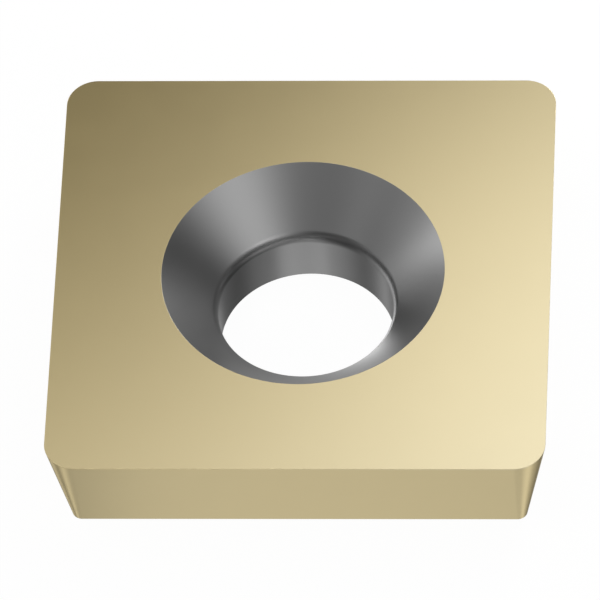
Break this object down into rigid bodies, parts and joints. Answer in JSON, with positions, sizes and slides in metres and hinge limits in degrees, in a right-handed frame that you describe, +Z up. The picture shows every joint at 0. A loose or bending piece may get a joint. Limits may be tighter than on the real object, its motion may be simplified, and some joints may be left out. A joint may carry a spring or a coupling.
{
  "type": "carbide insert",
  "caption": "Square indexable cutting insert with a flat rake face, relieved flanks, rounded corners and a countersunk hole for its clamp screw.",
  "frame": {"origin": "middle of the seat face, on the axis of the screw hole", "axes": "+Z up the hole's axis, from the seat face to the rake face; +X and +Y each point square to one cutting edge"},
  "size_m": [0.0126, 0.0126, 0.0029],
  "materials": {
    "coated_carbide": "satin"
  },
  "bodies": {
    "root": {"insert_body": "coated_carbide"}
  },
  "joints": []
}
